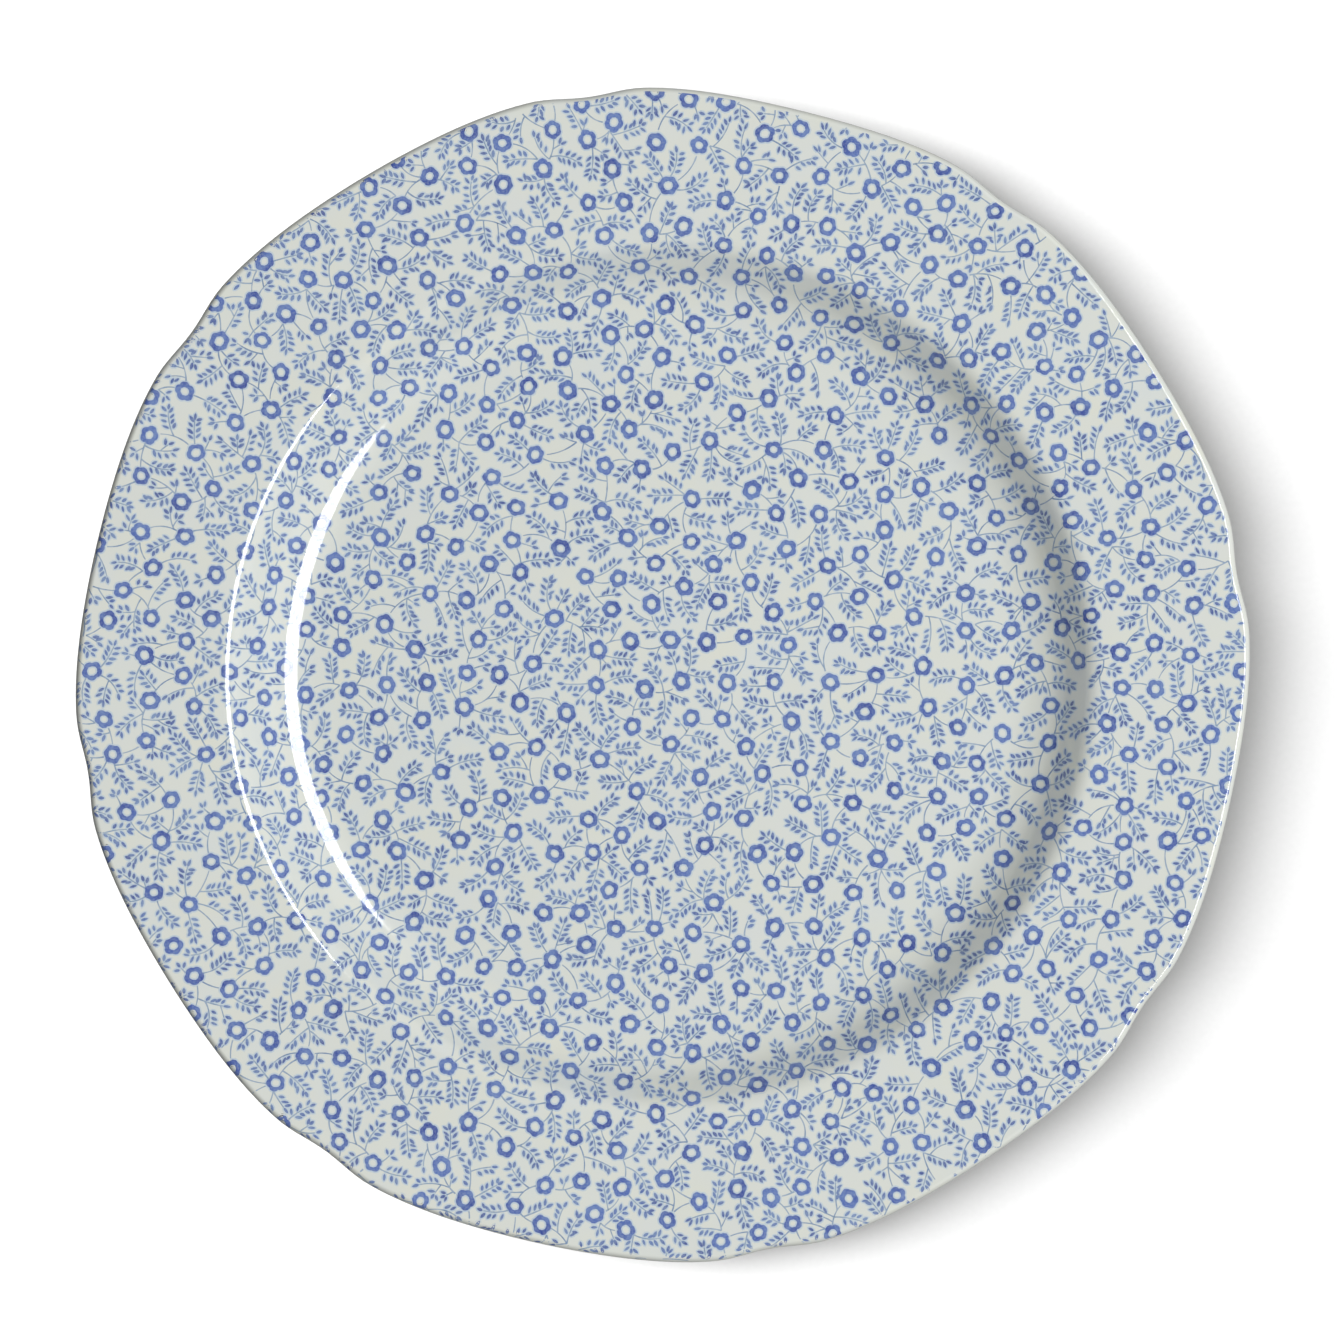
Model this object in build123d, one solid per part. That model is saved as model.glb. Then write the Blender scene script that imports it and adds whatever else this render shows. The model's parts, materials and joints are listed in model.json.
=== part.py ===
from build123d import *

import math
import os

# A china dinner plate, in millimetres. The plate rests on z = 0 with its axis on Z, and its
# printed face looks up. +Y is the top of the pattern and +X its right-hand side.

# Front surface of the glaze, from the axis outwards: a flat well, a hollow cup-shaped curve
# that tightens as it rises, a straight wall, a rounded shoulder, and a nearly flat rim.
WELL_RADIUS = 79.4
WELL_HEIGHT = 8.0
CUP_RADIUS = 19.0
CUP_ANGLE = 25.0
BEND_RADIUS = 11.0
WALL_ANGLE = 54.0
WALL_LENGTH = 6.4
SHOULDER_RADIUS = 5.3
RIM_ANGLE = 5.0
THICKNESS = 4.2

# Outline: eight long shallow lobes. Where two lobes meet there is a shallow notch between two
# rounded points. The notches are trimmed by hand, so they are not quite evenly spaced.
POINT_RADIUS = 132.5
POINT_OFFSET = 5.5
QUARTER_OFFSET = 13.0
QUARTER_DIP = 0.8
LOBE_DIP = 1.5
NOTCH_DEPTH = 1.1
NOTCH_ANGLES = [10.0, 54.5, 97.5, 144.0, 189.5, 234.5, 280.5, 325.5]

# The lip is half an ellipse, as tall as the rim is thick and this deep, in narrow bands.
LIP_DEPTH = 1.6
LIP_BANDS = 8

# Foot ring under the edge of the well, with sloping sides.
FOOT_OUTER_RADIUS = 75.0
FOOT_INNER_RADIUS = 69.5
FOOT_SLOPE = 1.2
FOOT_EDGE_ROUND = 0.6
FOOT_ROOT_ROUND = 1.8

# Layers over the clay. The print lies between the clay and the glaze and stops short of the
# lip. The glaze is wiped off the lower edge of the foot ring, which is left dry.
GLAZE = 0.3
PRINT_FILM = 0.1
PRINT_MARGIN = 2.2
DRY_FOOT_HEIGHT = 0.9

# Blanks and cutters reach past the plate by these lengths.
BLANK_REACH = 40.0
CUTTER_HEIGHT = 40.0
CUTTER_RADIUS = 200.0


def front_line(depth):
    """The front surface from the axis to past the rim, this deep below the glaze."""
    height = WELL_HEIGHT - depth
    well = Line((0, height), (WELL_RADIUS, height))
    cup = JernArc(well @ 1, well % 1, CUP_RADIUS + depth, CUP_ANGLE)
    bend = JernArc(cup @ 1, cup % 1, BEND_RADIUS + depth, WALL_ANGLE - CUP_ANGLE)
    wall = Line(bend @ 1, bend @ 1 + WALL_LENGTH * (bend % 1))
    shoulder = JernArc(wall @ 1, wall % 1, SHOULDER_RADIUS - depth, RIM_ANGLE - WALL_ANGLE)
    rim = Line(shoulder @ 1, shoulder @ 1 + BLANK_REACH * (shoulder % 1))
    return well, cup, bend, wall, shoulder, rim


def layer_section(upper_depth, lower_depth):
    """Half the section of the dished layer between two depths below the front surface."""
    upper = front_line(upper_depth)
    lower = front_line(lower_depth)
    axis = Line(upper[0] @ 0, lower[0] @ 0)
    outer_end = Line(upper[-1] @ 1, lower[-1] @ 1)
    return make_face([*upper, *lower, axis, outer_end])


def body_section(skin):
    """Half the section of the dish with its foot ring, with this skin taken off all over."""
    underside = WELL_HEIGHT - THICKNESS + skin
    inner = FOOT_INNER_RADIUS + skin
    outer = FOOT_OUTER_RADIUS - skin
    root_height = underside + THICKNESS / 4
    foot = Polyline(
        (inner, root_height),
        (inner, underside),
        (inner + FOOT_SLOPE, 0),
        (outer - FOOT_SLOPE, 0),
        (outer, underside),
        (outer, root_height),
        close=True,
    )
    section = layer_section(skin, THICKNESS - skin) + make_face(foot)
    roots = [
        section.vertices().sort_by_distance((inner, underside))[0],
        section.vertices().sort_by_distance((outer, underside))[0],
    ]
    section = fillet(roots, FOOT_ROOT_ROUND)
    bearing_corners = section.vertices().group_by(Axis.Y)[0]
    return fillet(bearing_corners, FOOT_EDGE_ROUND)


def turned(section):
    """Turn half a section round the plate's axis, with the seam at the first notch."""
    return Rot(Z=NOTCH_ANGLES[0]) * revolve(Plane.XZ * section, Axis.Z)


def polar(radius, angle):
    """The point at this radius, and this many degrees round from +X."""
    return Vector(radius, 0).rotate(Axis.Z, angle)


def lobe(tip, notch, next_notch):
    """One lobe of the outline, from notch to notch, for points at this radius."""
    return Spline(
        polar(tip - NOTCH_DEPTH, notch),
        polar(tip, notch + POINT_OFFSET),
        polar(tip - QUARTER_DIP, notch + QUARTER_OFFSET),
        polar(tip - LOBE_DIP, (notch + next_notch) / 2),
        polar(tip - QUARTER_DIP, next_notch - QUARTER_OFFSET),
        polar(tip, next_notch - POINT_OFFSET),
        polar(tip - NOTCH_DEPTH, next_notch),
        tangents=[polar(1, notch + 90), polar(1, next_notch + 90)],
    )


def outline(inset):
    """The scalloped outline, drawn in by this much."""
    next_angles = [*NOTCH_ANGLES[1:], NOTCH_ANGLES[0] + 360.0]
    tip = POINT_RADIUS - inset
    return make_face([lobe(tip, *ends) for ends in zip(NOTCH_ANGLES, next_angles)])


def lip_cutter(skin):
    """What lies inside this has the plate's outline and its rounded lip, less the skin."""
    shoulder_end = front_line(THICKNESS / 2)[-1] @ 0
    rim_rise = (POINT_RADIUS - shoulder_end.X) * math.tan(math.radians(RIM_ANGLE))
    middle = shoulder_end.Y + rim_rise
    half_height = THICKNESS / 2 - skin
    lip_depth = LIP_DEPTH - skin
    sections = [outline(LIP_DEPTH)]
    for number in range(LIP_BANDS + 1):
        turn = math.pi * (number / LIP_BANDS - 0.5)
        height = middle + half_height * math.sin(turn)
        sections.append(Pos(Z=height) * outline(skin + lip_depth * (1 - math.cos(turn))))
    sections.append(Pos(Z=CUTTER_HEIGHT) * outline(LIP_DEPTH))
    return loft(sections, ruled=True)


def scalloped_body(skin):
    """The whole plate, with this skin taken off all over except under the foot ring."""
    return turned(body_section(skin)) & lip_cutter(skin)


def print_layer():
    """The thin layer of print on the clay. It stops short of the lip."""
    film = turned(layer_section(GLAZE - PRINT_FILM, GLAZE))
    return film & extrude(outline(PRINT_MARGIN), CUTTER_HEIGHT)


def glaze_coats(clay, film):
    """The glaze over everything but the dry foot: its outer coat, and the one in the recess."""
    dry_zone = extrude(Circle(CUTTER_RADIUS), DRY_FOOT_HEIGHT)
    coats = (scalloped_body(0) - dry_zone) - clay - film
    recess, outer = coats.solids().sort_by(lambda solid: solid.bounding_box().size.X)
    return outer, recess


clay_body = scalloped_body(GLAZE)
printed_pattern = print_layer()
glaze_coat, recess_glaze = glaze_coats(clay_body, printed_pattern)

nodes = {
    "clay_body": clay_body,
    "printed_pattern": printed_pattern,
    "glaze_coat": glaze_coat,
    "recess_glaze": recess_glaze,
}

os.makedirs("parts", exist_ok=True)
for name, shape in nodes.items():
    export_step(shape, f"parts/{name}.step")
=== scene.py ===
import json
import math

import bpy
import numpy as np
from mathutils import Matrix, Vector


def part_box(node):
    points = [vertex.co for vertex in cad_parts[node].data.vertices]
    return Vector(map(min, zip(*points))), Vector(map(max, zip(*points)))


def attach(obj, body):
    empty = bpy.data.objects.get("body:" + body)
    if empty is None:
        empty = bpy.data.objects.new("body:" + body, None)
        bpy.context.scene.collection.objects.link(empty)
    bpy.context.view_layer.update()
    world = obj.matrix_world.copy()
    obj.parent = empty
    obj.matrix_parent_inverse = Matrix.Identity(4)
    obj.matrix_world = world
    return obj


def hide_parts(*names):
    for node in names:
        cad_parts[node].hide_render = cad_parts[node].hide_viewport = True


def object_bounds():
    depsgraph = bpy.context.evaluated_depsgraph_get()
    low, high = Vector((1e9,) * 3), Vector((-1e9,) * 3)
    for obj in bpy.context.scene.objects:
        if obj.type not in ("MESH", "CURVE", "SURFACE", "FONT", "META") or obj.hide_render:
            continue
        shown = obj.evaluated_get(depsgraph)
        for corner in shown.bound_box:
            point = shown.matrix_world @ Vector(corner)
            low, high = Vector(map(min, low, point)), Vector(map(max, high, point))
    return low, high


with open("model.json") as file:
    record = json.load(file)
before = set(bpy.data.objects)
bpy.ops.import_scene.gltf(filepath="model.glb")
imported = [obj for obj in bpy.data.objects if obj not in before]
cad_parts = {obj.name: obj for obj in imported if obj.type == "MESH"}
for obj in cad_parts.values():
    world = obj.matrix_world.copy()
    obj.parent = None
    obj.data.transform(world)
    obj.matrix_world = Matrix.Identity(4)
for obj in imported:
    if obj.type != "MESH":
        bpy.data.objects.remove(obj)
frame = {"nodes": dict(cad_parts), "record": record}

cad_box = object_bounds()

# A white china dinner plate with a blue printed pattern of small flowers, leaf sprigs and fine
# stems. Shapes are worked out in the plate's own millimetres, and MM turns those into metres of
# the frame. The plate rests on z = 0 with its axis on Z and its printed face up.
ROOT = "root"
POINT_RADIUS = 132.5
cad_glaze = frame["nodes"]["glaze_coat"].data
MM = max(math.hypot(v.co.x, v.co.y) for v in cad_glaze.vertices) / POINT_RADIUS
mounts = {mount["name"]: mount["pos_m"] for mount in frame["record"]["mounts"]}
WELL_HEIGHT = mounts["well_floor"][2] / MM
FOOT_RADIUS = mounts["foot_ring"][0] / MM
DRY_FOOT_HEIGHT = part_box("glaze_coat")[0][2] / MM
GLAZE = 0.3

# ---------------------------------------------------------------- the plate's curves

# Front surface from the axis outwards: flat well, hollow cup curve and its tighter bend, wall,
# shoulder, rim. The lip rounds over in a little less depth than the CAD's, so that the bright
# line along it stays thin.
WELL_RADIUS = 79.4
CUP_RADIUS = 19.0
CUP_ANGLE = math.radians(25.0)
BEND_RADIUS = 11.0
WALL_ANGLE = math.radians(54.0)
WALL_LENGTH = 6.4
SHOULDER_RADIUS = 5.3
RIM_ANGLE = math.radians(5.0)
THICKNESS = 4.2
LIP_DEPTH = 1.3
CUP_END = WELL_RADIUS + CUP_RADIUS * CUP_ANGLE
BEND_END = CUP_END + BEND_RADIUS * (WALL_ANGLE - CUP_ANGLE)
WALL_END = BEND_END + WALL_LENGTH
SHOULDER_END = WALL_END + SHOULDER_RADIUS * (WALL_ANGLE - RIM_ANGLE)

# Outline: lobes with a shallow notch between two rounded points where they meet. DIP_EASE makes
# each lobe dip a little sooner past its points.
NOTCH_ANGLES = np.array([10.0, 54.5, 97.5, 144.0, 189.5, 234.5, 280.5, 325.5])
POINT_OFFSET = 5.5
NOTCH_DEPTH = 1.1
LOBE_DIP = 1.5
DIP_EASE = 0.85

# Foot ring: sloping sides, and rounded roots where it meets the underside. FOOT_RADIUS is the
# middle of its bearing edge.
UNDERSIDE = WELL_HEIGHT - THICKNESS
FOOT_HALF_WIDTH = 2.75
FOOT_SLOPE = 1.2
FOOT_ROOT = 1.3

# Slow unevenness of the thrown and fired body: a few long waves, in random directions.
WAVE_SEED = 11
WAVE_COUNT = 16
WAVE_LENGTHS = (22.0, 70.0)
WAVE_HEIGHT = 0.035

# The front's tables have this step, and its tilt is averaged over the blend either way, which
# eases the change from one curve to the next.
PROFILE_STEP = 0.05
PROFILE_END = 150.0
PROFILE_BLEND = 0.5


def profile_tables():
    """Radius, height and tilt of the front surface against the length along it."""
    arcs = np.arange(0.0, PROFILE_END, PROFILE_STEP)
    corners = [0.0, WELL_RADIUS, CUP_END, BEND_END, WALL_END, SHOULDER_END, PROFILE_END]
    tilts = [0.0, 0.0, CUP_ANGLE, WALL_ANGLE, WALL_ANGLE, RIM_ANGLE, RIM_ANGLE]
    tilt = np.interp(arcs, corners, tilts)
    window = int(PROFILE_BLEND / PROFILE_STEP)
    padded = np.pad(tilt, window, mode="edge")
    tilt = np.convolve(padded, np.ones(2 * window + 1) / (2 * window + 1), mode="valid")
    radius = np.concatenate([[0.0], np.cumsum(np.cos(tilt[:-1])) * PROFILE_STEP])
    height = np.concatenate([[0.0], np.cumsum(np.sin(tilt[:-1])) * PROFILE_STEP])
    return arcs, radius, height + WELL_HEIGHT, tilt


ARCS, RADII, HEIGHTS, TILTS = profile_tables()


def front(arc, depth=0.0):
    """Radius, height and tilt at this length along the front, this deep below it."""
    tilt = np.interp(arc, ARCS, TILTS)
    radius = np.interp(arc, ARCS, RADII) + depth * np.sin(tilt)
    height = np.interp(arc, ARCS, HEIGHTS) - depth * np.cos(tilt)
    return radius, height, tilt


def outline_radius(angle):
    """Radius of the plate's outline at this angle, in radians from +X."""
    turned = (np.degrees(angle) - NOTCH_ANGLES[0]) % 360.0
    starts = NOTCH_ANGLES - NOTCH_ANGLES[0]
    ends = np.append(starts[1:], 360.0)
    lobe = np.searchsorted(starts, turned, side="right") - 1
    offset = np.minimum(turned - starts[lobe], ends[lobe] - turned)
    half_lobe = (ends[lobe] - starts[lobe]) / 2
    up_the_point = np.clip(offset / POINT_OFFSET, 0, 1)
    along_the_lobe = np.clip((offset - POINT_OFFSET) / (half_lobe - POINT_OFFSET), 0, 1)
    notch = NOTCH_DEPTH * (1 + np.cos(math.pi * up_the_point)) / 2
    dip = LOBE_DIP * (1 - np.cos(math.pi * along_the_lobe**DIP_EASE)) / 2
    return POINT_RADIUS - notch - dip


def lip_start(angle):
    """Length along the front at which the rounded lip begins, at this angle."""
    lean = THICKNESS / 2 * math.sin(RIM_ANGLE)
    return np.interp(outline_radius(angle) - LIP_DEPTH - lean, RADII, ARCS)


def lip(angle, turn, skin=0.0):
    """Radius, height and normal on the lip, this skin below its surface.

    turn is 0 at its front edge and pi at its back."""
    radius, height, tilt = front(lip_start(angle), THICKNESS / 2)
    along = (LIP_DEPTH - skin) * np.sin(turn)
    across = (THICKNESS / 2 - skin) * np.cos(turn)
    normal_along = np.sin(turn) / LIP_DEPTH
    normal_across = np.cos(turn) / (THICKNESS / 2)
    size = np.hypot(normal_along, normal_across)
    cos, sin = np.cos(tilt), np.sin(tilt)
    return (
        radius + along * cos - across * sin,
        height + along * sin + across * cos,
        (normal_along * cos - normal_across * sin) / size,
        (normal_along * sin + normal_across * cos) / size,
    )


def wave_set():
    """Directions, sizes and starting points of the slow waves."""
    random = np.random.default_rng(WAVE_SEED)
    heading = random.uniform(0, 2 * math.pi, WAVE_COUNT)
    number = 2 * math.pi / random.uniform(*WAVE_LENGTHS, WAVE_COUNT)
    start = random.uniform(0, 2 * math.pi, WAVE_COUNT)
    return number * np.cos(heading), number * np.sin(heading), start


WAVES_X, WAVES_Y, WAVE_STARTS = wave_set()


def unevenness(x, y):
    """Height of the slow waves at a point, and how fast it changes along x and along y."""
    phase = x[..., None] * WAVES_X + y[..., None] * WAVES_Y + WAVE_STARTS
    height = WAVE_HEIGHT * math.sqrt(2 / WAVE_COUNT)
    rise = height * np.cos(phase)
    return (
        height * np.sin(phase).sum(axis=-1),
        (rise * WAVES_X).sum(axis=-1),
        (rise * WAVES_Y).sum(axis=-1),
    )


# ---------------------------------------------------------------- meshes

SHARP_ANGLE = math.radians(50.0)

# How finely the skins are divided: columns round the plate, and rows along each stretch. The
# hidden inner side of a skin is divided more coarsely, by this share.
FRONT_COLUMNS = 400
RECESS_COLUMNS = 240
WELL_ROWS = 24
HOLLOW_ROWS = 44
RIM_ROWS = 16
LIP_ROWS = 24
BACK_ROWS = 26
FOOT_ROOT_ROWS = 6
RECESS_ROWS = 20
INNER_SHARE = 0.4


def new_piece(name, points, faces, node, slot):
    """A piece of the plate from points in millimetres, in place of a CAD node."""
    mesh = bpy.data.meshes.new(name)
    mesh.from_pydata((points * MM).tolist(), [], faces)
    mesh.polygons.foreach_set("use_smooth", [True] * len(mesh.polygons))
    mesh.update()
    piece = bpy.data.objects.new(name, mesh)
    bpy.context.scene.collection.objects.link(piece)
    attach(piece, ROOT)
    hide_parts(node)
    return piece


def around(radius, height, angles):
    """Points at these radii and heights, one row for each, with the slow waves added."""
    x = radius * np.cos(angles)
    y = radius * np.sin(angles)
    return np.stack([x, y, height + unevenness(x, y)[0]], axis=-1)


def closed_skin(outer, inner):
    """Points and faces of a closed skin from its outer and inner rows, both from the axis out."""
    rows = np.concatenate([outer, inner[::-1]])
    count, columns = rows.shape[:2]
    points = [rows.reshape(-1, 3)]
    faces = []
    for row in range(count - 1):
        for column in range(columns):
            following = (column + 1) % columns
            a = row * columns + column
            b = row * columns + following
            faces.append((a, a + columns, b + columns, b))
    for end, row in ((0, 0), (1, count - 1)):
        centre = count * columns + end
        points.append(rows[row].mean(axis=0, keepdims=True))
        for column in range(columns):
            a = row * columns + column
            b = row * columns + (column + 1) % columns
            faces.append((centre, a, b) if end == 0 else (centre, b, a))
    return np.concatenate(points), faces


def corner_curve(start, corner, end, steps):
    """Points on a smooth curve that rounds a corner."""
    t = np.linspace(0, 1, steps)[:, None]
    start, corner, end = (np.array(point) for point in (start, corner, end))
    return (1 - t) ** 2 * start + 2 * t * (1 - t) * corner + t**2 * end


def foot_side(side, skin):
    """Radius and height down one side of the foot ring, from the underside to the dry edge.

    side is 1 for the outer side and -1 for the inner one."""
    root = (FOOT_RADIUS + side * (FOOT_HALF_WIDTH - skin), UNDERSIDE + skin)
    away = (root[0] + side * FOOT_ROOT, root[1])
    slope = np.array([-side * FOOT_SLOPE, -UNDERSIDE])
    down = np.array(root) + slope / np.hypot(*slope) * FOOT_ROOT
    dry = (down[0] + slope[0] * (down[1] - DRY_FOOT_HEIGHT) / UNDERSIDE, DRY_FOOT_HEIGHT)
    return np.concatenate([corner_curve(away, root, down, FOOT_ROOT_ROWS), [dry]])


def front_skin_rows(angles, skin, detail):
    """Rows over the front, the lip and the back to the foot, this deep below the surface.

    They crowd together towards the lip."""
    well = np.linspace(0, WELL_RADIUS, 1 + int(WELL_ROWS * detail))[1:]
    hollow = np.linspace(WELL_RADIUS, SHOULDER_END, 1 + int(HOLLOW_ROWS * detail))[1:]
    to_lip = 1 - (1 - np.linspace(0, 1, 1 + int(RIM_ROWS * detail))[1:, None]) ** 2
    rim = SHOULDER_END + to_lip * (lip_start(angles) - SHOULDER_END)
    inner_arcs = np.concatenate([well, hollow])[:, None] + 0 * angles
    front_arcs = np.concatenate([inner_arcs, rim])
    foot = foot_side(1, skin)
    hollow_back = np.linspace(WELL_RADIUS, SHOULDER_END, 1 + int(BACK_ROWS * detail))[::-1]
    back_arcs = np.concatenate([rim[-2::-2], hollow_back[:, None] + 0 * angles])
    turns = np.linspace(0, math.pi, 2 + int(LIP_ROWS * detail))[1:-1, None]
    rows = [
        around(*front(front_arcs, skin)[:2], angles),
        around(*lip(angles, turns, skin)[:2], angles),
        around(*front(lip_start(angles)[None, :], THICKNESS - skin)[:2], angles),
        around(*front(back_arcs, THICKNESS - skin)[:2], angles),
        around(foot[:, :1] + 0 * angles, foot[:, 1:] + 0 * angles, angles),
    ]
    return np.concatenate(rows)


def recess_skin_rows(angles, skin, detail):
    """Rows over the recess inside the foot ring, this deep above the surface."""
    foot = foot_side(-1, skin)
    reach = np.linspace(0, foot[0, 0], 1 + int(RECESS_ROWS * detail))[1:-1]
    radii = np.concatenate([reach, foot[:, 0]])[:, None] + 0 * angles
    heights = np.concatenate([0 * reach + UNDERSIDE + skin, foot[:, 1]])[:, None] + 0 * angles
    return around(radii, heights, angles)


def make_skin(name, node, rows, angles):
    """A closed skin of glaze, from the function that gives its rows at these angles."""
    outer = rows(angles, 0.0, 1.0)
    inner = rows(angles, GLAZE, INNER_SHARE)
    piece = new_piece(name, *closed_skin(outer, inner), node, "glaze")
    piece.data.set_sharp_from_angle(angle=SHARP_ANGLE)
    return piece


def make_front_glaze():
    """The glaze over the front, lip and back."""
    angles = np.linspace(0, 2 * math.pi, FRONT_COLUMNS, endpoint=False)
    return make_skin("glaze_skin", "glaze_coat", front_skin_rows, angles)


def make_recess_glaze():
    """The glaze over the recess in the foot ring. It faces down, so it runs the other way round."""
    angles = np.linspace(0, -2 * math.pi, RECESS_COLUMNS, endpoint=False)
    return make_skin("recess_skin", "recess_glaze", recess_skin_rows, angles)


# ---------------------------------------------------------------- laying out the pattern

# The pattern is laid out on a flat map and pressed into the plate, which stretches it up the
# wall. MAP_EASE is 1 for a print that isn't stretched at all, and 0 for one that is stretched
# until it looks flat from above. MAP_DISTANCES goes with ARCS: distance from the map's middle.
SEED = 44
MAP_EASE = 0.4
MAP_DISTANCES = RADII + MAP_EASE * (ARCS - RADII)
MAP_REACH = 142.0
MAP_CELL = 0.25
MAP_CELLS = int(2 * MAP_REACH / MAP_CELL)

# The print is trimmed off this far over the lip, and lies this far off centre, x and y.
PRINT_OVER_LIP = 0.95
PRINT_SHIFT = (-0.55, -0.5)

# In the next three groups, a pair is the range of a random draw, and a clearance is the room a
# thing keeps free around it. There are two other pairs: STEM_TAPER is the share of its width
# that a stem has at its two ends, and SPRIG_OUTLOOK is how far ahead of its root a sprig needs
# two free places.
FLOWER_RADIUS = 2.12
FLOWER_SIZES = (0.92, 1.07)
FLOWER_SPACING = 7.5
FLOWER_SPACINGS = (0.94, 1.1)
FLOWER_TRIES = 30000
FLOWER_CLEARANCE = 2.55
FLOWER_MARGIN = 1.0

STEM_WIDTH = 0.28
STEM_WIDTHS = (0.8, 1.2)
STEM_TAPER = (1.15, 0.8)
STEM_STEP = 0.8
STEM_REACH = 12.5
STEM_CLEARANCE = 0.5
STEM_BOWS = (0.15, 0.42)
STEM_POINTS = 16
STEM_ROOT = 0.93
STEM_MIN_POINTS = 3
LINK_CHOICES = (0.7, 1.3)
LINK_SKIPS = 0.5

LEAF_LENGTH = 1.6
LEAF_WIDTH = 0.71
LEAF_SIZES = (0.84, 1.16)
LEAF_PITCH = 1.28
LEAF_STAGGER = 0.3
LEAF_STANDOFF = 0.4
LEAF_ARMS = (0.9, 1.15)
LEAF_SPREAD = math.radians(52.0)
LEAF_SPREAD_ERROR = 0.16
LEAF_TWIST_ERROR = 0.12
LEAF_CLEARANCE = 0.85
LEAF_PROBE = 0.36

# Sprigs grow in rounds, each with this many pairs of leaves. They leave a stem at a side turn
# and a flower straight out, from evenly spaced places just inside its edge.
SPRIG_ROUNDS = (4, 4, 3, 3, 2, 2, 1, 1)
SPRIG_SIDE_TURNS = (0.5, 1.3)
SPRIG_TURN = 0.45
SPRIG_BEND = 0.17
SPRIG_STALKS = (0.9, 2.6)
SPRIG_TWO_SIDED = 0.85
SPRIG_OUTLOOK = (1.5, 2.3)
SPRIG_ROOT_CLEARANCE = 1.0
SPRIG_MARGIN = 4.0
SPRIG_END = 0.5
SPRIG_TIP_LEAF = 0.55
BASES_PER_FLOWER = 7
FLOWER_BASE_SHARE = 0.95

random = np.random.default_rng(SEED)


class Claims:
    """A flat map of which places are taken."""

    def __init__(self):
        self.taken = np.zeros((MAP_CELLS, MAP_CELLS), bool)

    def cells(self, points):
        index = ((np.asarray(points) + MAP_REACH) / MAP_CELL).astype(int)
        return np.clip(index, 0, MAP_CELLS - 1)

    def free(self, points):
        """Whether all of these points are free."""
        index = self.cells(points)
        return not self.taken[index[..., 0], index[..., 1]].any()

    def claim(self, points, reach):
        """Take every place within reach of these points."""
        span = int(reach / MAP_CELL)
        dx, dy = np.mgrid[-span : span + 1, -span : span + 1]
        inside = dx**2 + dy**2 <= (reach / MAP_CELL) ** 2
        index = self.cells(np.asarray(points).reshape(-1, 2))
        x = np.clip(index[:, :1] + dx[inside], 0, MAP_CELLS - 1)
        y = np.clip(index[:, 1:] + dy[inside], 0, MAP_CELLS - 1)
        self.taken[x, y] = True


def scatter_flowers():
    """Places for the flowers: random, but never closer than their spacing."""
    near = Claims()
    tries = random.uniform(-MAP_REACH, MAP_REACH, (FLOWER_TRIES, 2))
    tries = tries[np.hypot(*tries.T) < MAP_REACH - FLOWER_MARGIN]
    spots = []
    for spot in tries:
        if near.free(spot):
            spots.append(spot)
            near.claim(spot, FLOWER_SPACING * random.uniform(*FLOWER_SPACINGS))
    return np.array(spots)


def bent_line(start, end, bow, steps):
    """Points on a gentle curve between two points, bowed sideways by this share of its length."""
    across = np.array([start[1] - end[1], end[0] - start[0]])
    return corner_curve(start, (start + end) / 2 + across * bow, end, steps)


def distances(points, others):
    """Distance from each of these points to each of the others."""
    return np.hypot(*(points[:, None] - others[None]).transpose(2, 0, 1))


def link_flowers(flowers, sizes):
    """Curved stems that join neighbouring flowers into a loose net."""
    stems = []
    links = np.zeros(len(flowers), int)
    apart = distances(flowers, flowers)
    pairs = [
        (apart[a, b] * random.uniform(*LINK_CHOICES), a, b)
        for a, b in np.argwhere(apart < STEM_REACH)
        if a < b
    ]
    for _, a, b in sorted(pairs):
        full = links[a] > 1 or links[b] > 2
        if full or (links[a] and links[b] and random.random() < LINK_SKIPS):
            continue
        bow = random.uniform(*STEM_BOWS) * random.choice([-1, 1])
        line = bent_line(flowers[a], flowers[b], bow, STEM_POINTS)
        from_all = distances(line, flowers)
        others = np.delete(from_all, [a, b], axis=1)
        if others.min() < FLOWER_RADIUS + STEM_CLEARANCE:
            continue
        outside = (from_all[:, [a, b]] > sizes[[a, b]] * STEM_ROOT).all(axis=1)
        if outside.sum() > STEM_MIN_POINTS:
            stems.append(line[outside])
            links[a] += 1
            links[b] += 1
    return stems


def arc_points(start, heading, bend, lengths):
    """Points and headings at these lengths along a curve that bends evenly."""
    headings = heading + bend * lengths
    middle = heading + bend * lengths / 2
    steps = np.stack([np.cos(middle), np.sin(middle)], axis=-1) * lengths[:, None]
    return start + steps, headings


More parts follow.
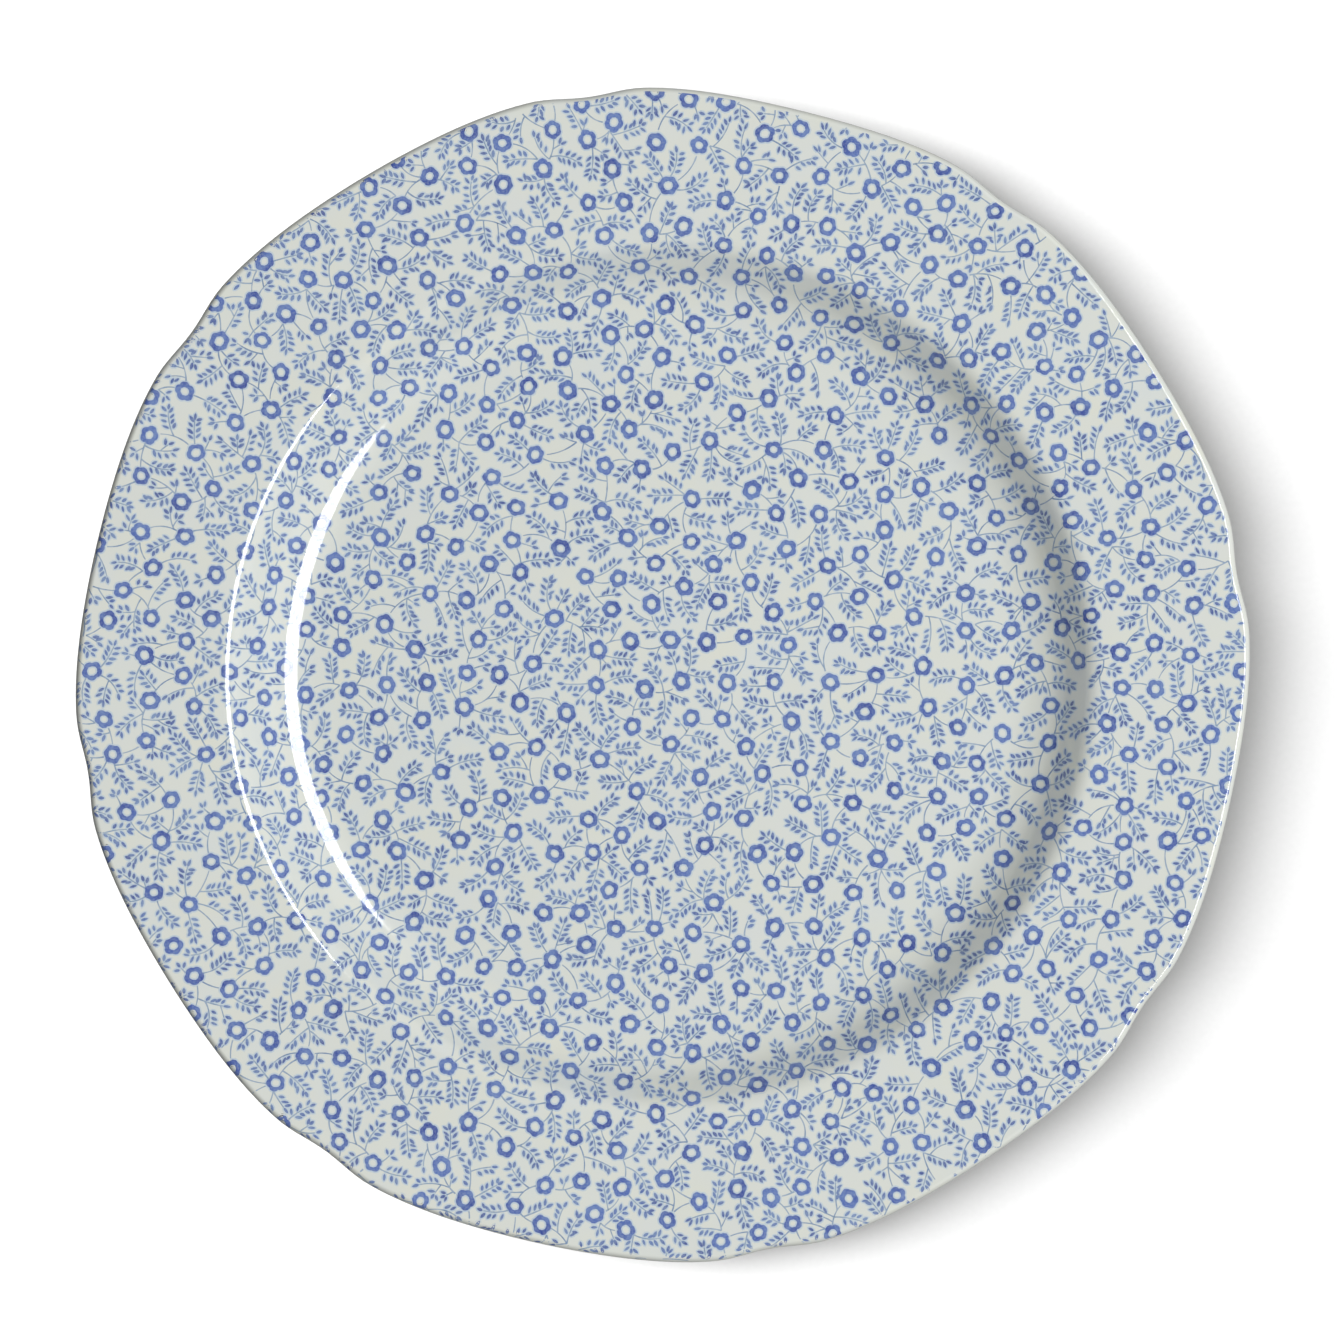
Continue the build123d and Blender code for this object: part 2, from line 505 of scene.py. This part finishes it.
def sprig(start, heading, bend, stalk, pairs, sides):
    """One sprig: its stem line, and its leaves as (x, y, heading, length, width) rows."""
    reach = stalk + LEAF_PITCH * (pairs - 1) + SPRIG_END
    stem, _ = arc_points(start, heading, bend, np.linspace(0, reach, 3 + 2 * pairs))
    tip_place = np.array([reach + LEAF_LENGTH * SPRIG_TIP_LEAF])
    tip, tip_heading = arc_points(start, heading, bend, tip_place)
    leaves = [[*tip[0], tip_heading[0]]]
    for side in sides:
        stagger = random.uniform(-LEAF_STAGGER, LEAF_STAGGER)
        places = stalk + LEAF_PITCH * np.arange(pairs) + stagger
        roots, headings = arc_points(start, heading, bend, places)
        out = headings + side * (LEAF_SPREAD + random.normal(0, LEAF_SPREAD_ERROR, pairs))
        arm = (LEAF_STANDOFF + LEAF_LENGTH / 2) * random.uniform(*LEAF_ARMS, (pairs, 1))
        centres = roots + arm * np.stack([np.cos(out), np.sin(out)], axis=-1)
        facing = out + random.normal(0, LEAF_TWIST_ERROR, pairs)
        leaves += np.column_stack([centres, facing]).tolist()
    leaves = np.array(leaves)
    sizes = random.uniform(*LEAF_SIZES, (len(leaves), 2)) * [LEAF_LENGTH, LEAF_WIDTH]
    return stem, np.column_stack([leaves, sizes])


def leaf_probes(leaves):
    """Three points along each leaf, to test and to claim its room."""
    heading = np.stack([np.cos(leaves[:, 2]), np.sin(leaves[:, 2])], axis=-1)
    reach = heading * leaves[:, 3:4] * LEAF_PROBE
    return np.stack([leaves[:, :2] - reach, leaves[:, :2], leaves[:, :2] + reach], axis=1)


def stem_bases(stems, flowers, sizes):
    """Places and headings from which sprigs may grow: stems, both ways, and flower edges."""
    bases = []
    for line in stems:
        steps = np.diff(line, axis=0)
        headings = np.arctan2(steps[:, 1], steps[:, 0])
        for point, heading in zip(line[:-1], headings):
            bases.append((point, heading + random.uniform(*SPRIG_SIDE_TURNS)))
            bases.append((point, heading - random.uniform(*SPRIG_SIDE_TURNS)))
    for flower, size in zip(flowers, sizes):
        spokes = np.arange(BASES_PER_FLOWER) * 2 * math.pi / BASES_PER_FLOWER
        for heading in spokes + random.uniform(0, 1):
            out = np.array([math.cos(heading), math.sin(heading)])
            bases.append((flower + out * size * FLOWER_BASE_SHARE, heading))
    return [bases[i] for i in random.permutation(len(bases))]


def grow_sprigs(stems, flowers, sizes):
    """Fill the room between flowers and stems with sprigs, the longest first."""
    claims = Claims()
    claims.claim(flowers, FLOWER_CLEARANCE)
    for line in stems:
        claims.claim(line, STEM_CLEARANCE)
    new_stems = []
    new_leaves = []
    for pairs in SPRIG_ROUNDS:
        for start, heading in stem_bases(stems + new_stems, flowers, sizes):
            if np.hypot(*start) > MAP_REACH - SPRIG_MARGIN:
                continue
            turn = random.uniform(-SPRIG_TURN, SPRIG_TURN)
            outlook, _ = arc_points(start, heading + turn, 0.0, np.array(SPRIG_OUTLOOK))
            if not claims.free(outlook):
                continue
            bend = random.uniform(-SPRIG_BEND, SPRIG_BEND)
            stalk = random.uniform(*SPRIG_STALKS)
            two_sided = random.random() < SPRIG_TWO_SIDED
            sides = (-1, 1) if two_sided else (random.choice([-1, 1]),)
            stem, leaves = sprig(start, heading + turn, bend, stalk, pairs, sides)
            probes = leaf_probes(leaves)
            past_root = stem[np.hypot(*(stem - start).T) > SPRIG_ROOT_CLEARANCE]
            if claims.free(probes) and claims.free(past_root):
                claims.claim(probes, LEAF_CLEARANCE)
                claims.claim(stem, STEM_CLEARANCE)
                new_stems.append(stem)
                new_leaves.append(leaves)
    return new_stems, np.concatenate(new_leaves)


# ---------------------------------------------------------------- printing it on the glaze

# Print shapes are thin lenses: a top just proud of the glaze, an underside just below it. Each
# kind lies a little above the last, and neighbours of a kind lie at slightly different levels,
# so that no two tops share a surface where they overlap.
FLOWER_BLEED_LIFT = 0.010
LEAF_BLEED_LIFT = 0.012
STEM_LIFT = 0.021
LEAF_LIFT = 0.030
FLOWER_LIFT = 0.040
LEVELS = 9
LEVEL_STEP = 0.0008
PRINT_SINK = 0.05
# Under the print lies a faint bleed of colour into the glaze, a little larger all round.
BLEED = 0.36

# A leaf is a pointed oval: its corners along and across it, as shares of its length and width.
LEAF_ALONG = np.array([-0.5, -0.3, 0.02, 0.3, 0.5, 0.3, 0.02, -0.3])
LEAF_ACROSS = np.array([0.0, 0.38, 0.5, 0.34, 0.0, -0.34, -0.5, -0.38])

# A flower is a ring with five or six rounded lobes round an open eye. Its outer edge lies at
# DIP_SHARE of its size between the lobes and LOBE_RISE further out on them. Both edges wobble
# by the factors given, and LEAN makes the ring slightly oval.
FLOWER_STEPS = 30
LOBE_COUNTS = [5, 6]
LOBE_CHANCES = [0.6, 0.4]
LOBE_ROUNDNESS = 0.8
DIP_SHARE = 0.86
LOBE_RISE = 0.17
LEAN = 0.05
EYE_SHARES = (0.43, 0.52)
OUTER_WOBBLE = (0.975, 1.025)
EYE_WOBBLE = (0.93, 1.07)

# A leaf or flower is printed if its middle lies at least this far inside the trimmed edge.
LEAF_EDGE_ROOM = 0.1
FLOWER_EDGE_ROOM = -0.3

LIP_TABLE_SIZE = 200


def lip_tables():
    """Turn round the lip against the length along it, from its front edge."""
    turns = np.linspace(0, math.pi / 2, LIP_TABLE_SIZE)
    along = LIP_DEPTH * np.sin(turns)
    across = THICKNESS / 2 * np.cos(turns)
    lengths = np.hypot(np.diff(along), np.diff(across))
    return np.concatenate([[0.0], np.cumsum(lengths)]), turns


LIP_LENGTHS, LIP_TURNS = lip_tables()


def trim_line(angle):
    """Length along the front at which the print is trimmed off, at this angle.

    It was laid on a little off centre, so it goes further over the lip on one side."""
    shift = PRINT_SHIFT[0] * np.cos(angle) + PRINT_SHIFT[1] * np.sin(angle)
    return lip_start(angle) + PRINT_OVER_LIP + shift


def pressed(flat):
    """Length along the front, and angle, where each point of the flat map comes to lie."""
    arc = np.interp(np.hypot(flat[..., 0], flat[..., 1]), MAP_DISTANCES, ARCS)
    return arc, np.arctan2(flat[..., 1], flat[..., 0])


def on_glaze(flat, lift):
    """Points and normals on the glaze for points of the flat map, lifted by this much."""
    arc, angle = pressed(flat)
    start = lip_start(angle)
    arc = np.minimum(arc, trim_line(angle))
    radius, height, tilt = front(arc)
    out, up = -np.sin(tilt), np.cos(tilt)
    turn = np.interp(arc - start, LIP_LENGTHS, LIP_TURNS)
    lip_radius, lip_height, lip_out, lip_up = lip(angle, turn)
    over = arc > start
    radius = np.where(over, lip_radius, radius)
    height = np.where(over, lip_height, height)
    out = np.where(over, lip_out, out)
    up = np.where(over, lip_up, up)
    radius = radius + lift * out
    height = height + lift * up
    x, y = radius * np.cos(angle), radius * np.sin(angle)
    rise, slope_x, slope_y = unevenness(x, y)
    normals = np.stack([out * np.cos(angle) - slope_x, out * np.sin(angle) - slope_y, up], axis=-1)
    normals /= np.linalg.norm(normals, axis=-1, keepdims=True)
    return np.stack([x, y, height + rise], axis=-1), normals


def inside_trim(flat, spare=0.0):
    """Whether each point of the flat map lies inside the trimmed edge of the print."""
    arc, angle = pressed(flat)
    return arc < trim_line(angle) - spare


def repeated(shapes, faces):
    """Points, normals and faces of many like shapes: shapes is (shape, point, x y and lift)."""
    points, normals = on_glaze(shapes[..., :2], shapes[..., 2])
    count, size = shapes.shape[:2]
    all_faces = np.array(faces)[None] + np.arange(count)[:, None, None] * size
    return points.reshape(-1, 3), normals.reshape(-1, 3), all_faces.reshape(-1, 3)


def make_print(name, parts):
    """A print piece from several sets of points, normals and faces."""
    shift = np.cumsum([0] + [len(points) for points, _, _ in parts])
    points = np.concatenate([part[0] for part in parts])
    normals = np.concatenate([part[1] for part in parts])
    faces = np.concatenate([part[2] + start for part, start in zip(parts, shift)])
    piece = new_piece(name, points, faces.tolist(), "printed_pattern", "blue_print")
    piece.data.normals_split_custom_set_from_vertices(normals.tolist())
    return piece


def levels(count, lift):
    """Heights above the glaze for this many neighbours, each a little different from the next."""
    return lift + LEVEL_STEP * (np.arange(count) % LEVELS)


def leaf_shapes(leaves, growth, lift):
    """Pointed ovals for these leaves, grown by this much all round."""
    leaves = leaves[inside_trim(leaves[:, :2], LEAF_EDGE_ROOM)]
    cos, sin = np.cos(leaves[:, 2:3]), np.sin(leaves[:, 2:3])
    a = (leaves[:, 3:4] + 2 * growth) * LEAF_ALONG
    b = (leaves[:, 4:5] + 2 * growth) * LEAF_ACROSS
    edge = leaves[:, None, :2] + np.stack([a * cos - b * sin, a * sin + b * cos], axis=-1)
    flat = np.concatenate([edge, leaves[:, None, :2], leaves[:, None, :2]], axis=1)
    lifts = np.full(flat.shape[:2], -PRINT_SINK)
    lifts[:, :-1] = levels(len(leaves), lift)[:, None]
    shapes = np.dstack([flat, lifts])
    corners = len(LEAF_ALONG)
    top, bottom = corners, corners + 1
    faces = []
    for corner in range(corners):
        following = (corner + 1) % corners
        faces.append((top, following, corner))
        faces.append((bottom, corner, following))
    return repeated(shapes, faces)


def flower_outlines(flowers, sizes):
    """Direction, outer radius and eye radius round each flower, at evenly spaced steps."""
    count = len(flowers)
    lobes = random.choice(LOBE_COUNTS, (count, 1), p=LOBE_CHANCES)
    turned = random.uniform(0, 2 * math.pi, (count, 1))
    angle = np.linspace(0, 2 * math.pi, FLOWER_STEPS, endpoint=False) + turned
    bulge = np.abs(np.cos(lobes * (angle - turned) / 2)) ** LOBE_ROUNDNESS
    lean = 1 + LEAN * np.sin(2 * angle + random.uniform(0, 2 * math.pi, (count, 1)))
    rough = random.uniform(*OUTER_WOBBLE, (count, FLOWER_STEPS))
    outer = sizes[:, None] * (DIP_SHARE + LOBE_RISE * bulge) * lean * rough
    eye = sizes[:, None] * lean * random.uniform(*EYE_SHARES, (count, 1))
    return angle, outer, eye * random.uniform(*EYE_WOBBLE, (count, FLOWER_STEPS))


def ring_shapes(flowers, outlines, growth, lift):
    """Rings with these outlines, one for each flower, grown by this much."""
    angle, outer, eye = outlines
    outer = outer + growth
    eye = eye - growth
    middle = (outer + eye) / 2
    out = np.stack([np.cos(angle), np.sin(angle)], axis=-1)
    rings = []
    for ring, height in ((outer, lift), (middle, lift), (eye, lift), (middle, -PRINT_SINK)):
        flat = flowers[:, None] + ring[..., None] * out
        rings.append(np.dstack([flat, np.full(flat.shape[:2], height)]))
    shapes = np.concatenate(rings, axis=1)[inside_trim(flowers, FLOWER_EDGE_ROOM)]
    faces = []
    for step in range(FLOWER_STEPS):
        following = (step + 1) % FLOWER_STEPS
        for ring, next_ring in ((0, 1), (1, 2), (2, 3), (3, 0)):
            a = ring * FLOWER_STEPS
            b = next_ring * FLOWER_STEPS
            faces.append((a + step, a + following, b + following))
            faces.append((a + step, b + following, b + step))
    return repeated(shapes, faces)


def resampled(line, step):
    """The same line with evenly spaced points."""
    lengths = np.concatenate([[0.0], np.cumsum(np.hypot(*np.diff(line, axis=0).T))])
    places = np.linspace(0, lengths[-1], 2 + int(lengths[-1] / step))
    return np.column_stack([np.interp(places, lengths, line[:, i]) for i in (0, 1)])


def stem_shapes(stems):
    """Fine tapering ribbons, one for each stem."""
    parts = []
    for line, top in zip(stems, levels(len(stems), STEM_LIFT)):
        line = line[inside_trim(line)]
        if len(line) < 2:
            continue
        line = resampled(line, STEM_STEP)
        heading = np.gradient(line, axis=0)
        heading /= np.hypot(*heading.T)[:, None]
        across = np.column_stack([-heading[:, 1], heading[:, 0]])
        count = len(line)
        taper = np.linspace(*STEM_TAPER, count)[:, None]
        half = STEM_WIDTH / 2 * random.uniform(*STEM_WIDTHS, (count, 1)) * taper
        shapes = np.stack([line + across * half, line - across * half, line], axis=1)
        lift = np.broadcast_to([top, top, -PRINT_SINK], shapes.shape[:2])
        points, normals = on_glaze(shapes, lift)
        faces = [(0, 2, 1), (3 * count - 3, 3 * count - 2, 3 * count - 1)]
        for step in range(count - 1):
            for a, b in ((0, 1), (1, 2), (2, 0)):
                a, b = 3 * step + a, 3 * step + b
                faces.append((a, b, b + 3))
                faces.append((a, b + 3, a + 3))
        parts.append((points.reshape(-1, 3), normals.reshape(-1, 3), np.array(faces)))
    return parts


# ---------------------------------------------------------------- materials

# How fine each noise is: the number of its details in a metre of the frame.
CLOUDS = 14.0
PATCHES = 90.0
PEEL = 420.0
FLOWER_DRIFT = 120.0
LEAF_DRIFT = 430.0
SPECKLE = 2600.0
GRIT = 1500.0
PAPER_GRAIN = 750.0

# Most of a noise's values lie between these, and are stretched to run from 0 to 1.
NOISE_RANGE = (0.3, 0.7)

PEEL_HEIGHT = 0.004 * MM
GRIT_HEIGHT = 0.05 * MM
GLOSS_ROUGHNESS = (0.05, 0.085)
CLAY_ROUGHNESS = (0.95, 0.75)
PAPER_ROUGHNESS = 0.9
GLAZE_INDEX = 1.7

# Colours. Where there are two, the material drifts between them.
WARM_GLAZE = ((0.790, 0.800, 0.708), (0.768, 0.795, 0.722))
COOL_GLAZE = ((0.744, 0.790, 0.770), (0.762, 0.786, 0.752))
CLAY = ((0.66, 0.61, 0.52), (0.78, 0.74, 0.66))
CLAY_MARKS = (0.42, 0.39, 0.34)
PAPER = ((0.89, 0.89, 0.89), (0.91, 0.91, 0.91))

# Inks: strong, weak and pale.
BLEED_INK = ((0.53, 0.64, 0.75), (0.59, 0.69, 0.76), (0.65, 0.73, 0.76))
FLOWER_INK = ((0.024, 0.062, 0.34), (0.085, 0.16, 0.49), (0.15, 0.25, 0.55))
LEAF_INK = ((0.070, 0.110, 0.34), (0.13, 0.21, 0.48), (0.24, 0.35, 0.57))
STEM_INK = ((0.17, 0.27, 0.45), (0.28, 0.39, 0.53), (0.41, 0.51, 0.63))
WASHED_OUT = (0.60, 0.68, 0.78)


def map_range(tree, value, start, end, start_result, end_result):
    """A node's output stretched from one range to another, and kept inside it."""
    node = tree.nodes.new("ShaderNodeMapRange")
    node.inputs["From Min"].default_value = start
    node.inputs["From Max"].default_value = end
    node.inputs["To Min"].default_value = start_result
    node.inputs["To Max"].default_value = end_result
    tree.links.new(value, node.inputs["Value"])
    return node.outputs["Result"]


class Nodes:
    """A material's node tree, with short ways to add nodes."""

    def __init__(self, name):
        self.material = bpy.data.materials.new(name)
        self.material.use_nodes = True
        self.tree = self.material.node_tree
        self.shader = self.tree.nodes["Principled BSDF"]
        self.place = self.tree.nodes.new("ShaderNodeTexCoord").outputs["Object"]

    def link(self, output, socket):
        self.tree.links.new(output, socket)

    def noise(self, size, detail, roughness=0.5):
        """Smooth noise with its middle at 0.5."""
        node = self.tree.nodes.new("ShaderNodeTexNoise")
        node.inputs["Scale"].default_value = size
        node.inputs["Detail"].default_value = detail
        node.inputs["Roughness"].default_value = roughness
        self.link(self.place, node.inputs["Vector"])
        return node.outputs["Fac"]

    def spread(self, size, detail, roughness=0.5, values=NOISE_RANGE, results=(0.0, 1.0)):
        """Noise with this range of its values stretched to run between these results."""
        return map_range(self.tree, self.noise(size, detail, roughness), *values, *results)

    def mix(self, share, first, second):
        """A colour between two others. Each may be a colour or another node's output."""
        node = self.tree.nodes.new("ShaderNodeMix")
        node.data_type = "RGBA"
        self.link(share, node.inputs["Factor"])
        for socket, colour in ((node.inputs["A"], first), (node.inputs["B"], second)):
            if isinstance(colour, tuple):
                socket.default_value = (*colour, 1.0)
            else:
                self.link(colour, socket)
        return node.outputs["Result"]

    def bump(self, height, distance):
        """Bump the surface by this height, in metres at its highest."""
        node = self.tree.nodes.new("ShaderNodeBump")
        node.inputs["Distance"].default_value = distance
        self.link(height, node.inputs["Height"])
        self.link(node.outputs["Normal"], self.shader.inputs["Normal"])

    def colour(self, output):
        """Paint the surface with this."""
        self.link(output, self.shader.inputs["Base Color"])

    def roughness(self, output):
        """Make the surface as rough as this."""
        self.link(output, self.shader.inputs["Roughness"])

    def gloss(self):
        """The glaze's gloss: a smooth surface with a faint orange peel."""
        self.roughness(self.spread(PATCHES, 4.0, results=GLOSS_ROUGHNESS))
        self.bump(self.noise(PEEL, 1.5), PEEL_HEIGHT)
        self.shader.inputs["IOR"].default_value = GLAZE_INDEX


def glaze_material():
    """Clear gloss glaze over white clay: faint clouds of tint, and a slight orange peel."""
    nodes = Nodes("glaze")
    clouds = nodes.spread(CLOUDS, 2.0)
    patches = nodes.spread(PATCHES, 3.0)
    warm = nodes.mix(clouds, *WARM_GLAZE)
    cool = nodes.mix(clouds, *COOL_GLAZE)
    nodes.colour(nodes.mix(patches, warm, cool))
    nodes.gloss()
    return nodes.material


def ink_material(name, strong, weak, pale):
    """Blue print under the glaze: its strength drifts from flower to flower and leaf to leaf."""
    nodes = Nodes(name)
    drift = nodes.spread(FLOWER_DRIFT, 1.0, values=(0.36, 0.64))
    uneven = nodes.spread(LEAF_DRIFT, 1.0, values=(0.38, 0.68), results=(0.0, 0.75))
    speckle = nodes.spread(SPECKLE, 2.0, values=(0.35, 0.7), results=(0.0, 0.22))
    ink = nodes.mix(uneven, nodes.mix(drift, strong, weak), pale)
    nodes.colour(nodes.mix(speckle, ink, WASHED_OUT))
    nodes.gloss()
    return nodes.material


def clay_material():
    """Dry fired clay on the foot's bearing edge: grainy, with faint grey marks."""
    nodes = Nodes("fired_clay")
    grain = nodes.spread(GRIT, 4.0, 0.7)
    marks = nodes.spread(PATCHES, 4.0, 0.65, values=(0.5, 0.75), results=(0.0, 0.6))
    nodes.colour(nodes.mix(marks, nodes.mix(grain, *CLAY), CLAY_MARKS))
    nodes.roughness(map_range(nodes.tree, grain, 0.0, 1.0, *CLAY_ROUGHNESS))
    nodes.bump(grain, GRIT_HEIGHT)
    return nodes.material


def floor_material():
    """Plain pale paper."""
    nodes = Nodes("floor")
    nodes.colour(nodes.mix(nodes.spread(PAPER_GRAIN, 3.0), *PAPER))
    nodes.shader.inputs["Roughness"].default_value = PAPER_ROUGHNESS
    nodes.shader.inputs["Specular IOR Level"].default_value = 0.0
    return nodes.material


# ---------------------------------------------------------------- studio

PLATE_WIDTH = cad_box[1].x - cad_box[0].x
RIM_HEIGHT = cad_box[1].z
CAMERA_DISTANCE = 5.0 * PLATE_WIDTH
CAMERA_CLIP = 100.0
VIEW_WIDTH = 1.1375 * PLATE_WIDTH
VIEW_SHIFT = Vector((0.00475, 0.00585, 0.0)) * PLATE_WIDTH
FLOOR_REACH = 7 * PLATE_WIDTH

KEY_DISTANCE = 4.9 * PLATE_WIDTH
KEY_HEADING = 0.0
KEY_ELEVATION = math.radians(65.5)
KEY_SIZE = (3.5 * PLATE_WIDTH, 1.5 * PLATE_WIDTH)
KEY_RADIANCE = 11.5
SIDE_DISTANCE = 12.0 * PLATE_WIDTH
SIDE_HEADING = math.radians(172.0)
SIDE_ELEVATION = math.radians(57.0)
SIDE_SIZE = (5.0 * PLATE_WIDTH, 18.5 * PLATE_WIDTH)
SIDE_RADIANCE = 10.0

# The surround's light from the far left and far right, the share of it that comes from below,
# how softly the two meet at the horizon, and its brightness as the camera sees it.
SURROUND_LEFT = 0.10
SURROUND_RIGHT = 0.62
GROUND_SHARE = 0.85
GROUND_BLEND = 0.2
BACKDROP = 1.0


def make_floor():
    """A plain pale floor under the plate, which throws no light back onto it."""
    mesh = bpy.data.meshes.new("floor")
    corners = [
        (-FLOOR_REACH, -FLOOR_REACH, 0),
        (FLOOR_REACH, -FLOOR_REACH, 0),
        (FLOOR_REACH, FLOOR_REACH, 0),
        (-FLOOR_REACH, FLOOR_REACH, 0),
    ]
    mesh.from_pydata(corners, [], [(0, 1, 2, 3)])
    floor = bpy.data.objects.new("floor", mesh)
    bpy.context.scene.collection.objects.link(floor)
    mesh.materials.append(floor_material())
    floor.visible_diffuse = False
    floor.visible_glossy = False
    return floor


def make_camera():
    """Straight above the plate, with the top of the pattern at the top of the view."""
    data = bpy.data.cameras.new("camera")
    data.lens = data.sensor_width * CAMERA_DISTANCE / VIEW_WIDTH
    data.clip_end = CAMERA_CLIP
    camera = bpy.data.objects.new("camera", data)
    camera.location = VIEW_SHIFT + Vector((0, 0, RIM_HEIGHT + CAMERA_DISTANCE))
    bpy.context.scene.collection.objects.link(camera)
    bpy.context.scene.camera = camera


def soft_box(name, heading, elevation, distance, size, radiance):
    """An oval soft box in this direction from the plate, turned towards it."""
    data = bpy.data.lights.new(name, "AREA")
    data.shape = "ELLIPSE"
    data.size, data.size_y = size
    data.energy = radiance * math.pi * (math.pi / 4 * size[0] * size[1])
    box = bpy.data.objects.new(name, data)
    flat = math.cos(elevation)
    towards = Vector((flat * math.cos(heading), flat * math.sin(heading), math.sin(elevation)))
    box.location = towards * distance
    box.rotation_mode = "QUATERNION"
    box.rotation_quaternion = towards.to_track_quat("Z", "Y")
    box.visible_camera = False
    bpy.context.scene.collection.objects.link(box)
    return box


def light_only(light, pieces):
    """Make a light fall on these pieces alone. Everything still casts its shadow."""
    lit = bpy.data.collections.new("lit_by_" + light.name)
    for piece in pieces:
        lit.objects.link(piece)
    light.light_linking.receiver_collection = lit


def make_lights(plate, floor):
    """A wide key high on the right, which the wall mirrors as two thin crescents, and a tall
    side light on the left, which lays the plate's soft shadow on the floor."""
    key = soft_box("key", KEY_HEADING, KEY_ELEVATION, KEY_DISTANCE, KEY_SIZE, KEY_RADIANCE)
    light_only(key, plate)
    side = soft_box("side", SIDE_HEADING, SIDE_ELEVATION, SIDE_DISTANCE, SIDE_SIZE, SIDE_RADIANCE)
    light_only(side, [floor])


def make_surround():
    """A white backdrop. It lights the plate less from the left, away from the key, and from
    below."""
    world = bpy.data.worlds.new("studio")
    world.use_nodes = True
    tree = world.node_tree
    place = tree.nodes.new("ShaderNodeTexCoord")
    split = tree.nodes.new("ShaderNodeSeparateXYZ")
    product = tree.nodes.new("ShaderNodeMath")
    product.operation = "MULTIPLY"
    tree.links.new(place.outputs["Generated"], split.inputs["Vector"])
    walls = map_range(tree, split.outputs["X"], -1.0, 1.0, SURROUND_LEFT, SURROUND_RIGHT)
    ground = map_range(tree, split.outputs["Z"], -GROUND_BLEND, GROUND_BLEND, GROUND_SHARE, 1.0)
    tree.links.new(walls, product.inputs[0])
    tree.links.new(ground, product.inputs[1])
    seen = tree.nodes.new("ShaderNodeMix")
    seen.inputs["B"].default_value = BACKDROP
    path = tree.nodes.new("ShaderNodeLightPath")
    tree.links.new(path.outputs["Is Camera Ray"], seen.inputs["Factor"])
    tree.links.new(product.outputs["Value"], seen.inputs["A"])
    tree.links.new(seen.outputs["Result"], tree.nodes["Background"].inputs["Strength"])
    tree.nodes["Background"].inputs["Color"].default_value = (1.0, 1.0, 1.0, 1.0)
    bpy.context.scene.world = world


# ---------------------------------------------------------------- the scene

def use_material(pieces, material):
    """Give all of these pieces this material alone."""
    for piece in pieces:
        piece.data.materials.clear()
        piece.data.materials.append(material)


def make_printed_pieces():
    """The blue print, from a new random layout: its bleed, flowers, leaves and stems."""
    flowers = scatter_flowers()
    sizes = FLOWER_RADIUS * random.uniform(*FLOWER_SIZES, len(flowers))
    links = link_flowers(flowers, sizes)
    twigs, leaves = grow_sprigs(links, flowers, sizes)
    outlines = flower_outlines(flowers, sizes)
    flower_bleed = ring_shapes(flowers, outlines, BLEED, FLOWER_BLEED_LIFT)
    leaf_bleed = leaf_shapes(leaves, BLEED, LEAF_BLEED_LIFT)
    bleeds = [make_print("flower_bleed", [flower_bleed]), make_print("leaf_bleed", [leaf_bleed])]
    rings = make_print("print_flowers", [ring_shapes(flowers, outlines, 0.0, FLOWER_LIFT)])
    foliage = make_print("print_leaves", [leaf_shapes(leaves, 0.0, LEAF_LIFT)])
    lines = make_print("print_stems", stem_shapes(links + twigs))
    use_material(bleeds, ink_material("ink_bleed", *BLEED_INK))
    use_material([rings], ink_material("ink_flowers", *FLOWER_INK))
    use_material([foliage], ink_material("ink_leaves", *LEAF_INK))
    use_material([lines], ink_material("ink_stems", *STEM_INK))
    return [*bleeds, rings, foliage, lines]


def make_plate():
    """Every piece of the plate, with its material."""
    clay = frame["nodes"]["clay_body"]
    use_material([clay], clay_material())
    skins = [make_front_glaze(), make_recess_glaze()]
    use_material(skins, glaze_material())
    return [clay, *skins, *make_printed_pieces()]


plate = make_plate()
floor = make_floor()
make_lights(plate, floor)
make_surround()
make_camera()
bpy.context.scene.view_settings.view_transform = "Standard"
